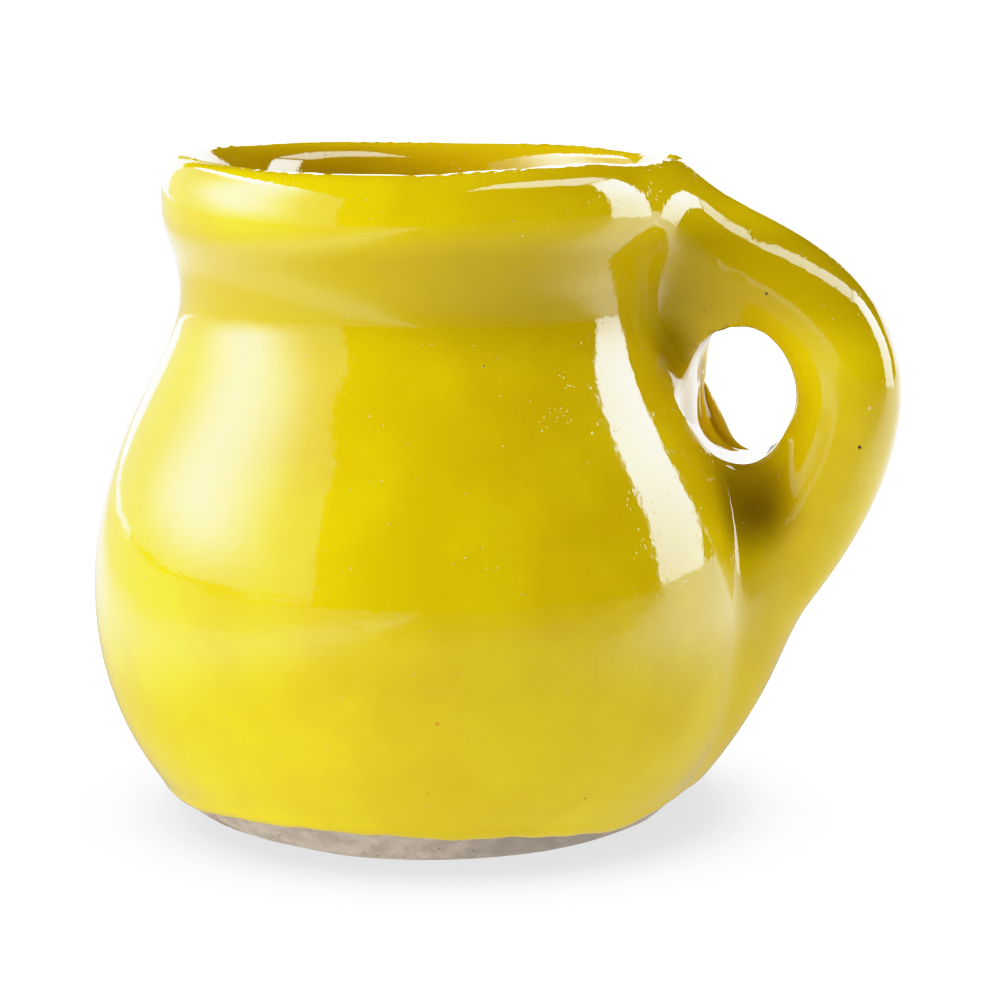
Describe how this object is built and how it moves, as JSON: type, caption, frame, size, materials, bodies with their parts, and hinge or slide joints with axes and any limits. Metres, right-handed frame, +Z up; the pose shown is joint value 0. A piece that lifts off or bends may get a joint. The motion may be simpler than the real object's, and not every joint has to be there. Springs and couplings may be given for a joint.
{
  "type": "jarrito clay mug",
  "caption": "Small glazed clay mug with a round belly, a rolled lip and a thick coil handle luted to lip and belly.",
  "frame": {"origin": "centre of the foot's flat underside, on the surface that the mug stands on", "axes": "+Z up along the pot's axis, +X towards the handle"},
  "size_m": [0.0634, 0.053, 0.0515],
  "materials": {
    "bare_clay": "fired, unglazed, sandy matt clay",
    "clay_slip": "fired clay slip, matt",
    "yellow_glaze": "high gloss lemon yellow glaze with fine orange peel and pinholes",
    "lining_glaze": "high gloss golden olive glaze lining"
  },
  "bodies": {
    "root": {"clay_body": "bare_clay", "handle": "bare_clay", "upper_slip_joint": "clay_slip", "lower_slip_joint": "clay_slip", "outer_glaze": "yellow_glaze", "inner_glaze": "lining_glaze"}
  },
  "joints": []
}
